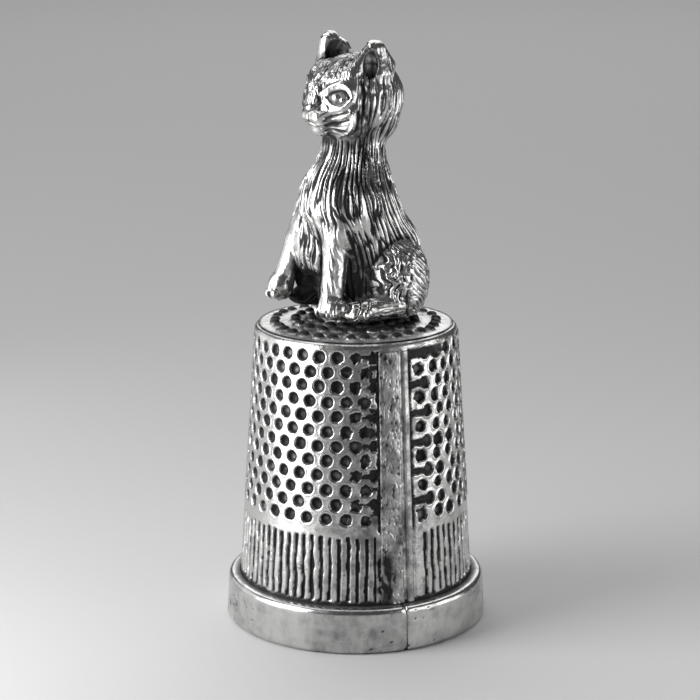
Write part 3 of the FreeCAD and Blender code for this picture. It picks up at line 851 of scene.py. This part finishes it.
def longitude_latitude(local):
    """Longitude and latitude in degrees of points in the head's own terms."""
    longitude = np.degrees(np.arctan2(local[:, 0], local[:, 1]))
    return longitude, np.degrees(np.arctan2(local[:, 2], np.hypot(local[:, 0], local[:, 1])))


def smooth_path(points, pieces=6):
    """A curve through the points."""
    points = np.array(points, float)
    padded = np.concatenate([points[:1] * 2 - points[1:2], points, points[-1:] * 2 - points[-2:-1]])
    out = []
    for index in range(len(points) - 1):
        a, b, c, d = padded[index:index + 4]
        for part in np.linspace(0, 1, pieces, endpoint=False):
            out.append(0.5 * (2 * b + (c - a) * part + (2 * a - 5 * b + 4 * c - d) * part ** 2
                              + (3 * b - a - 3 * c + d) * part ** 3))
    out.append(points[-1])
    return np.array(out)


def from_path(directions, reach, path):
    """Distance of the head's points from a path of (longitude, latitude)."""
    curve = smooth_path(path)
    ends = direction(curve[:, 0], curve[:, 1])
    best = np.full(len(directions), 9.0)
    for start, end in zip(ends, ends[1:]):
        along = end - start
        part = np.clip((directions - start) @ along / (along @ along), 0, 1)
        best = np.minimum(best, np.linalg.norm(directions - start - part[:, None] * along, axis=1))
    return best * reach


# Strokes of the face as (longitude, latitude) on the left side, with half width and height:
# above zero is a ridge, below zero a groove. The right side has the same ones mirrored.
FACE_STROKES = [
    ([(19, 5), (24, 11), (33, 14), (41, 13), (45, 7)], 0.09, -0.12),  # upper lid line
    ([(19, 5), (25, 0), (32, -2), (39, 0), (45, 7)], 0.07, -0.09),  # lower lid line
    ([(14, 11), (22, 18), (34, 22), (45, 18), (50, 8)], 0.16, 0.11),  # upper lid
    ([(17, -13), (27, -9), (39, -5), (48, 3)], 0.16, 0.13),  # ridge under the eye
    ([(12, 7), (15, -2), (20, -7)], 0.13, 0.07),
    ([(9, 16), (9, 2), (13, -9)], 0.14, -0.07),  # side of the nose
    ([(20, -18), (32, -14), (45, -8)], 0.1, -0.12),  # folds behind the whiskers
    ([(10, -24), (26, -19), (39, -15), (48, -10)], 0.13, 0.13),
    ([(17, -28), (31, -24), (46, -17)], 0.12, -0.14),
    ([(13, -30), (26, -31), (44, -27)], 0.09, 0.09),
    ([(15, -35), (28, -36), (44, -33)], 0.1, -0.12),
    ([(12, -40), (28, -41), (41, -40)], 0.1, 0.07),
    ([(52, -9), (51, -23), (43, -36), (30, -46)], 0.11, 0.11),  # cheek fold
    ([(56, -8), (56, -24), (50, -40)], 0.12, -0.12),
    ([(6, -46), (20, -49), (34, -58)], 0.12, -0.1),  # under the jaw
    ([(59, 26), (64, 12), (63, -4)], 0.12, -0.1),  # hair in front of the ear
    ([(0, 14), (0, 26), (0, 40)], 0.1, -0.05),  # middle of the forehead
]
MOUTH = [
    ([(-20, -27), (-8, -24), (0, -21), (8, -24), (16, -26)], 0.08, -0.09),
    ([(0, -21), (0, -15)], 0.07, -0.1),
]
EYE = (31, 6)
EYE_OPENING = (12.0, 7.6)


def face_relief(local):
    """Push and darkness of the face's strokes and eyes at points in the head's own terms."""
    reach = np.linalg.norm(local, axis=1)
    directions = local / reach[:, None]
    longitude, latitude = longitude_latitude(local)
    push = np.zeros(len(local))
    dark = np.zeros(len(local))
    both_sides = [([(side * stop, rise) for stop, rise in path], *shape)
                  for path, *shape in FACE_STROKES for side in (1, -1)]
    for path, half_width, height in both_sides + MOUTH:
        push += height * np.exp(-(from_path(directions, reach, path) / half_width) ** 2)
    for side in (1, -1):
        across = (side * longitude - EYE[0]) / EYE_OPENING[0]
        above = (latitude - EYE[1]) / EYE_OPENING[1]
        opening = np.hypot(across, above)
        pupil = np.hypot((across + 0.12) / 0.17, above / 0.45)
        tear = np.hypot((across - 0.52) / 0.22, (above + 0.35) / 0.3)
        iris = np.hypot(across + 0.1, 0.75 * above)
        push += 0.07 * ease(1.2, 0.5, pupil) + 0.06 * ease(1.2, 0.4, tear)
        push -= 0.05 * np.exp(-((iris - 0.48) / 0.1) ** 2)
        clear = np.clip(ease(1.3, 0.8, pupil) + ease(1.3, 0.7, tear), 0, 1)
        shade = ease(1.05, 0.85, opening) * (0.62 - 0.3 * ease(0.5, 0.3, iris))
        dark = np.maximum(dark, shade * (1 - clear))
        cheek = np.hypot((side * longitude - 31) / 17, (latitude + 30) / 9)
        dark = np.maximum(dark, 0.55 * ease(1.1, 0.7, cheek) * ease(0.09, -0.02, push))
    return push, dark


def strands(across, along, pitch, length, seed):
    """Fine ridges that run along: 1 on a ridge, 0 in the groove between."""
    points = plane_points(across, along)
    bend = layered_noise(points, (2.4 * pitch, 1.3 * length, 1), seed + 50, 2) - 0.5
    points[:, 0] += 1.6 * pitch * bend
    evenly = np.abs(points[:, 0] / pitch % 1.0 - 0.5) * 2
    present = ease(0.12, 0.35, value_noise(points, (1.3 * pitch, 0.8 * length, 1), seed + 2))
    width = 0.12 + 0.38 * value_noise(points, (0.8 * pitch, 0.5 * length, 1), seed + 3)
    lines = ease(width + 0.2, width - 0.15, evenly) * present
    wild = 0.66 * value_noise(points, (0.75 * pitch, length, 1), seed)
    wild = wild + 0.34 * value_noise(points, (0.4 * pitch, 0.6 * length, 1), seed + 1)
    forks = ease(0.13, 0.0, np.abs(wild - 0.5))
    return (1 - np.maximum(lines, 0.8 * forks)).reshape(across.shape)


UNROLLED_RADIUS = 3.6  # the fur is laid out on a cylinder of this size
COAT_DEPTH = 0.16
HAIR_DEPTH = 0.115
FACE_EDGE = 85  # degrees to each side
NEAR_LOOK = 0.45
FAR_LOOK = 1.1
FLANK_SHADE = ((2.9, 1.5, 3.4), (1.0, 1.1, 2.0))  # place and half sizes of the painted shade in the hollow in front of the haunch


def cat_regions(points):
    """Where each point is, and how far it belongs to each part of the cat, 0 to 1."""
    at = types.SimpleNamespace(points=points, local=in_head(points))
    at.left, at.forward, at.up = points.T
    at.longitude, at.latitude = longitude_latitude(at.local)
    middle = np.interp(at.up, [row[0] for row in TRUNK], [row[3] for row in TRUNK])
    at.round_body = np.arctan2(at.left, at.forward - middle) * UNROLLED_RADIUS
    at.round_head = np.radians(at.longitude) * UNROLLED_RADIUS
    at.up_head = np.radians(at.latitude) * UNROLLED_RADIUS
    at.head = ease(0.9, 0.2, head_distance(at.local)) * ease(12.2, 13.4, at.up)
    at.bridge = ease(20, 13, np.abs(at.longitude)) * ease(-9, -3, at.latitude)
    at.face = ease(60, 50, np.abs(at.longitude)) * window(at.latitude, -62, -50, 24, 34)
    at.face *= 1 - 0.6 * at.bridge
    at.ear = ease(0.25, 0.0, nearest_rod(at.local, EARS)) * ease(1.6, 2.3, at.local[:, 2])
    at.haunch = ease(0.25, 0.05, ellipsoid(points, *HAUNCH[:2])) * (at.left > 0)
    at.foot = ease(0.25, 0.05, tapered_rod(points, *HIND_FOOT[:4]))
    paws = [ellipsoid(points, *paw[:2]) for paw in FOREPAWS]
    at.from_legs = np.minimum.reduce([nearest_rod(points, LIMBS), *paws])
    at.leg = ease(0.25, 0.05, at.from_legs) * ease(7.8, 5.2, at.up)
    return at


def coat_relief(at):
    """How far the coat of the body is pushed in."""
    coat = strands(at.round_body, at.up, 0.46, 2.2, 101)
    tufts = strands(at.forward, at.up, 0.55, 0.5, 121)
    brushed = strands(0.7 * at.forward - 0.7 * at.up, 0.7 * at.forward + 0.7 * at.up, 0.3, 0.9, 126)
    in_front = ease(-2.6, -1.7, at.forward) * ease(5.2, 4.4, at.up)
    on_haunch = (0.3 + 0.7 * tufts) * in_front + (0.45 + 0.55 * brushed) * (1 - in_front)
    coat += (on_haunch - coat) * at.haunch
    toe_lines = np.abs((at.forward + 0.5 * at.up) % 0.62 - 0.31) / 0.31
    toe_lines = ease(0.7, 0.92, toe_lines) * ease(0.9, 1.3, at.forward)
    on_foot = 0.75 + 0.25 * strands(at.up - 0.3 * at.left, at.forward, 0.42, 1.1, 136)
    coat += (on_foot * (1 - 0.8 * toe_lines) - coat) * at.foot
    return -COAT_DEPTH * (1 - at.leg * 0.75) * (1 - coat) * (1 - at.head)


def hair_relief(at):
    """How far the hair of the head is pushed in round the face."""
    hair = strands(at.round_head, at.up_head, 0.52, 1.9, 111)
    short_hair = strands(at.round_head, at.up_head, 0.26, 0.55, 131)
    forehead = ease(58, 46, np.abs(at.longitude)) * ease(12, 22, at.latitude)
    hair += (short_hair - hair) * np.maximum(forehead, at.bridge)
    return -HAIR_DEPTH * (1 - hair) * (1 - at.face) * (1 - 0.8 * at.ear) * at.head


def coat_darkness(at):
    """Black finish in the locks and ear hollows, mottled dark between the ears, and painted shade in the
    flank, in the crease round the left haunch, on the right knee and foot facing the arch between the
    forelegs and under the jaw.
    """
    locks = value_noise(plane_points(at.round_body, at.up), (0.5, 2.0, 1), 151)
    locks = ease(0.52, 0.68, locks) * (1 - at.head) * (1 - at.leg)
    side_locks = value_noise(plane_points(at.round_head, at.up_head), (0.6, 2.2, 1), 152)
    side_locks = ease(0.5, 0.62, side_locks) * at.head * (1 - at.face) * (1 - at.ear)
    between_ears = ease(32, 42, at.latitude) * ease(75, 55, np.abs(at.longitude))
    between_ears *= at.head * (1 - at.ear) * ease(0.35, 0.65, value_noise(at.points, 0.4, 153))
    # painted shade in the flank's hollow between the foreleg and the haunch
    flank_shade = ease(0.35, -0.1, ellipsoid(at.points, *FLANK_SHADE)) * (1 - at.leg)
    # painted shadow in the crease round the front of the left haunch
    haunch_crease_shade = ease(0.5, 0.12, ellipsoid(at.points, *HAUNCH[:2])) * (1 - at.haunch) * (at.left > 0)
    haunch_crease_shade *= ease(-2.6, -1.4, at.forward) * (1 - at.foot) * ease(0.6, 1.4, at.up)
    # painted shade on the right knee and hind foot where they face into the arch between the forelegs
    arch_shade = ease(-4.6, -3.9, at.left) * (at.left < 0) * ease(3.6, 3.0, at.up)
    arch_shade *= ease(0.2, 0.35, at.from_legs) * window(at.forward, 0.8, 1.8, 4.2, 4.8)
    # painted shadow under the jaw, round the ruff
    jaw_shadow = window(at.up, 11.7, 12.3, 13.1, 13.6) * ease(-0.5, 0.8, at.forward)
    in_ears = [ease(0.25, 0.0, ellipsoid(at.local, *hollow[:2])) for hollow in EAR_HOLLOWS]
    dark = 0.2 * locks + 0.22 * side_locks * ease(25, 5, at.latitude) + 0.35 * between_ears
    return np.maximum.reduce([dark, 0.5 * flank_shade, 0.7 * haunch_crease_shade, arch_shade, 0.3 * jaw_shadow, 0.35 * np.maximum(*in_ears)])


def fur_relief(points):
    """Push and darkness of the coat and the face."""
    at = cat_regions(points)
    push = coat_relief(at) + hair_relief(at)
    dark = coat_darkness(at)
    front = (at.head > 0) & (np.abs(at.longitude) < FACE_EDGE)
    face_push, face_dark = face_relief(at.local[front])
    fade = at.head[front] * ease(FACE_EDGE, FACE_EDGE - 15, np.abs(at.longitude[front]))
    push[front] += face_push * fade
    dark[front] = np.maximum(dark[front], face_dark * fade)
    return push, dark


def shelter_round(points, outwards):
    """How far the surface closes round each point, 0 to 1, from the room left a little way out."""
    near = cat_distance(points + NEAR_LOOK * outwards) / NEAR_LOOK
    far = cat_distance(points + FAR_LOOK * outwards) / FAR_LOOK
    return np.clip(1.15 - 0.55 * near - 0.6 * far, 0, 1)


def make_cat(material):
    """The cat as one mesh on the surface of its masses, with the coat pushed into it."""
    points, quads = cat_surface()
    points, quads = divided(settled(settled(points)), quads)
    points = settled(points)
    outwards = slope_at(points, cat_distance(points))
    outwards /= np.maximum(np.linalg.norm(outwards, axis=1, keepdims=True), 1e-6)
    push, dark = fur_relief(points)
    under = ease(0.12, 0.02, points[:, 2])
    rough = layered_noise(points, 0.22, 141) - 0.5
    push = push + 0.03 * rough
    paws = np.minimum(ellipsoid(points, *FOREPAWS[0][:2]), tapered_rod(points, *HIND_FOOT[:4]))
    shelter = shelter_round(points, outwards) * (1 - 0.8 * ease(0.35, 0.1, paws))
    speckle = ease(0.1, 0.25, rough) * ease(0.1, 0.5, shelter)
    # patina in the grooves and hollows, with the painted shade that dark brings from the coat
    patina_and_shade = ease(0.03, 0.13, -push) + 1.15 * shelter + dark + 0.8 * under + 0.5 * speckle
    points = points + (push * (1 - under))[:, None] * outwards
    points[:, 2] = np.maximum(points[:, 2], 0.0)
    placed = np.stack([points[:, 0], -points[:, 1], points[:, 2] + FIGURE_BASE], axis=1)
    return make_piece("cat", placed, quads.tolist(), patina_and_shade, "cat_figure", material)


# Materials
BLACK_FINISH = (0.008, 0.008, 0.009, 1)


def ramp(nodes, links, value, low, high, start, end):
    """A smooth map of value from (start, end) to (low, high)."""
    node = nodes.new("ShaderNodeMapRange")
    node.interpolation_type = "SMOOTHSTEP"
    node.inputs["From Min"].default_value = start
    node.inputs["From Max"].default_value = end
    node.inputs["To Min"].default_value = low
    node.inputs["To Max"].default_value = high
    links.new(value, node.inputs["Value"])
    return node.outputs["Result"]


def fine_noise(nodes, links, scale, detail, roughness):
    """Noise in the object's own coordinates; scale is per metre."""
    place = nodes.new("ShaderNodeTexCoord")
    noise = nodes.new("ShaderNodeTexNoise")
    noise.inputs["Scale"].default_value = scale
    noise.inputs["Detail"].default_value = detail
    noise.inputs["Roughness"].default_value = roughness
    links.new(place.outputs["Object"], noise.inputs["Vector"])
    return noise.outputs["Fac"]


def pewter(name, bright, shine, cloud=0.25, bump=0.25):
    """Antiqued pewter. bright is the rubbed metal's grey, shine its roughness."""
    material = bpy.data.materials.new(name)
    material.use_nodes = True
    nodes, links = material.node_tree.nodes, material.node_tree.links
    shader = nodes["Principled BSDF"]
    # the value holds the black patina and, on the cat, painted shade
    patina_and_shade = nodes.new("ShaderNodeAttribute")
    patina_and_shade.attribute_name = "patina_and_shade"
    clouds = fine_noise(nodes, links, 900, 4, 0.6)
    grain = fine_noise(nodes, links, 9000, 3, 0.7)
    speckled = nodes.new("ShaderNodeMath")
    speckled.operation = "MULTIPLY_ADD"
    links.new(ramp(nodes, links, clouds, -cloud, cloud, 0.3, 0.75), speckled.inputs[0])
    speckled.inputs[1].default_value = 1.0
    links.new(patina_and_shade.outputs["Fac"], speckled.inputs[2])
    dark = speckled.outputs["Value"]
    colour = nodes.new("ShaderNodeValToRGB")
    stops = colour.color_ramp.elements
    stops[0].position, stops[0].color = 0.0, (bright, bright, bright * 0.985, 1)
    stops[1].position, stops[1].color = 0.85, BLACK_FINISH
    middle = stops.new(0.35)
    middle.color = (bright * 0.45, bright * 0.45, bright * 0.45, 1)
    links.new(dark, colour.inputs["Fac"])
    links.new(colour.outputs["Color"], shader.inputs["Base Color"])
    links.new(ramp(nodes, links, dark, shine, 0.62, 0.0, 0.7), shader.inputs["Roughness"])
    links.new(ramp(nodes, links, dark, 1.0, 0.35, 0.3, 0.9), shader.inputs["Metallic"])
    raised = nodes.new("ShaderNodeBump")
    raised.inputs["Strength"].default_value = bump
    raised.inputs["Distance"].default_value = 0.00002
    links.new(grain, raised.inputs["Height"])
    links.new(raised.outputs["Normal"], shader.inputs["Normal"])
    return material


# Everything in place
sleeve_pewter = pewter("sleeve_pewter", 0.62, 0.24)
band_pewter = pewter("band_pewter", 0.62, 0.2, 0.1, 0.3)
seam_pewter = pewter("seam_pewter", 0.6, 0.26)
crown_pewter = pewter("crown_pewter", 0.62, 0.33)
cat_pewter = pewter("cat_pewter", 0.66, 0.22)
solder_grey = pewter("solder_grey", 0.45, 0.4)

make_sleeve(sleeve_pewter)
make_crown(crown_pewter)
make_band(band_pewter)
make_strip("seam_strap_strip", "seam_strap", STRAP, 0.12, 1.0, 71, seam_pewter)
make_strip("seam_bead_strip", "seam_bead", BEAD, 0.1, 0.25, 81, seam_pewter)
make_solder(solder_grey)
make_cat(cat_pewter)
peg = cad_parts["figure_peg"]
peg.data.materials.clear()
peg.data.materials.append(solder_grey)


# Floor, lights and camera
# Lights: name, azimuth from the camera's, height, distance, size, brightness and height aimed at
LIGHTS = [
    ("left_card", -66, 0.031, 0.062, (0.05, 0.06), 4.7, 0.031),
    ("key", -75, 0.19, 0.28, (0.2, 0.2), 4.5, 0.022),
    ("left_back_card", -118, 0.034, 0.085, (0.07, 0.055), 0.9, 0.034),
    ("right_card", 72, 0.031, 0.085, (0.095, 0.06), 1.9, 0.031),
    ("back", 180, 0.6, 1.25, (1.0, 0.65), 1.5, 0.022),
    ("top", 180, 0.8, 0.35, (1.0, 1.0), 1.5, 0.022),
]
VIEW_AZIMUTH = -30.0  # the camera's direction from the part, in degrees from +X toward +Y
LOOK_DOWN = 13.38  # degrees
SIDE_SHIFT = -6 / 700  # part of the frame's width
FLOOR_REACH = 1.5


def soft_light(name, azimuth, height, distance, size, brightness, aim_height):
    """A soft light of even brightness aimed at the axis; azimuth from the camera's, in degrees."""
    lamp = bpy.data.lights.new(name, "AREA")
    lamp.shape = "RECTANGLE"
    lamp.size, lamp.size_y = size
    lamp.energy = brightness * math.pi * size[0] * size[1]
    light = bpy.data.objects.new(name, lamp)
    turned = math.radians(VIEW_AZIMUTH + azimuth)
    light.location = (distance * math.cos(turned), distance * math.sin(turned), height)
    aim = mathutils.Vector((0, 0, aim_height)) - light.location
    light.rotation_euler = aim.to_track_quat("-Z", "Y").to_euler()
    light.visible_camera = False
    bpy.context.scene.collection.objects.link(light)


def make_floor():
    """Plain pale floor under the part."""
    mesh = bpy.data.meshes.new("floor")
    corners = [(-1, -1), (1, -1), (1, 1), (-1, 1)]
    mesh.from_pydata([(FLOOR_REACH * x, FLOOR_REACH * y, 0) for x, y in corners], [], [(0, 1, 2, 3)])
    floor = bpy.data.objects.new("floor", mesh)
    bpy.context.scene.collection.objects.link(floor)
    paint = bpy.data.materials.new("floor_paint")
    paint.use_nodes = True
    shader = paint.node_tree.nodes["Principled BSDF"]
    shader.inputs["Base Color"].default_value = (0.5, 0.5, 0.5, 1)
    shader.inputs["Roughness"].default_value = 0.9
    mesh.materials.append(paint)
    return floor


make_floor()
for light in LIGHTS:
    soft_light(*light)

world = bpy.data.worlds.new("studio")
world.use_nodes = True
background = world.node_tree.nodes["Background"]
background.inputs["Color"].default_value = (0.8, 0.8, 0.8, 1)
background.inputs["Strength"].default_value = 0.1
bpy.context.scene.world = world
bpy.context.scene.view_settings.view_transform = "Standard"

camera_data = bpy.data.cameras.new("camera")
camera_data.lens = 103.2
camera_data.sensor_width = 36
camera_data.shift_x = SIDE_SHIFT
camera_data.clip_start = 0.01
camera = bpy.data.objects.new("camera", camera_data)
camera.location = (0.1283, -0.07405, 0.0559)
camera.rotation_euler = (math.radians(90 - LOOK_DOWN), 0, math.radians(90 + VIEW_AZIMUTH))
bpy.context.scene.collection.objects.link(camera)
bpy.context.scene.camera = camera
